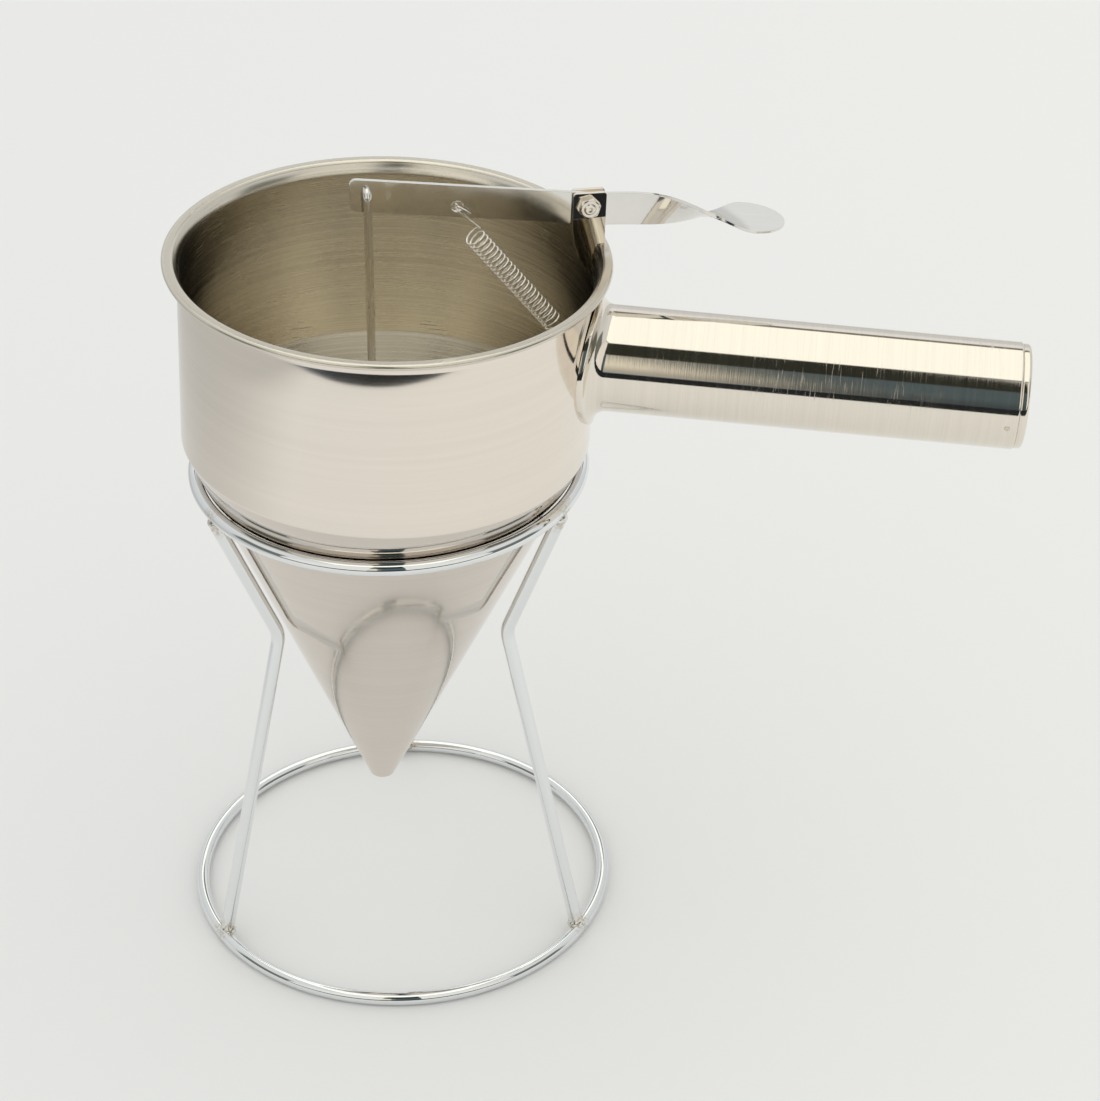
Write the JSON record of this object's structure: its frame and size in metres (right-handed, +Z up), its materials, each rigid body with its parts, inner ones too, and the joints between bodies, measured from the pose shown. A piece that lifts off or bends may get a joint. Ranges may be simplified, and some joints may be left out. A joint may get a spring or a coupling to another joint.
{
  "type": "batter dispenser",
  "caption": "Steel batter dispenser: a round bowl on a cone with a side handle and a thumb lever that lifts a stopper from the outlet, resting in a three-legged wire stand.",
  "frame": {"origin": "on the table, under the middle of the stand's rings", "axes": "+Z up, +X from the middle of the bowl along the thumb lever"},
  "size_m": [0.2982, 0.1634, 0.3008],
  "materials": {
    "stand_chrome": "plated, mirror bright",
    "bowl_steel": "mirror polished outside, brushed round the inside",
    "cone_steel": "polished, faintly drawn lines",
    "handle_steel": "polished with fine lengthwise lines",
    "lever_steel": "satin sides, bright edges",
    "fastener_steel": "bright, slightly dulled",
    "spring_steel": "bright drawn wire",
    "rod_steel": "drawn, dull"
  },
  "bodies": {
    "stand": {"base_ring": "stand_chrome", "seat_ring": "stand_chrome", "leg_front_left": "stand_chrome", "leg_front_right": "stand_chrome", "leg_back": "stand_chrome", "stand_welds": "stand_chrome"},
    "hopper": {"hopper_bowl": "bowl_steel", "hopper_cone": "cone_steel", "handle_tube": "handle_steel", "handle_end_cap": "handle_steel", "handle_pin": "fastener_steel", "lever_bracket": "lever_steel", "pivot_bolt": "fastener_steel", "pivot_nut": "fastener_steel", "spring_lug": "lever_steel", "return_spring": "spring_steel"},
    "lever": {"lever": "lever_steel"},
    "rod": {"plunger_rod": "rod_steel", "stopper_plug": "rod_steel"}
  },
  "joints": [
    {"name": "hopper_lift", "type": "slide", "parent": "stand", "child": "hopper", "axis": [0, 0, 1], "range_m": [0, 0.15]},
    {"name": "lever_pivot", "type": "hinge", "parent": "hopper", "child": "lever", "pos_m": [0.07196, 0, 0.2833], "axis": [0, 1, 0], "range_deg": [0, 15], "stiffness_Nm_per_rad": 0.54, "springref_deg": -8.02, "deforming": ["return_spring"]},
    {"name": "rod_swing", "type": "hinge", "parent": "lever", "child": "rod", "pos_m": [-0.0047, 0, 0.29657], "axis": [0, 1, 0], "range_deg": [-15, 0]}
  ],
  "couplings": [
    {"joint": "rod_swing", "follows": "lever_pivot", "ratio": -1}
  ]
}
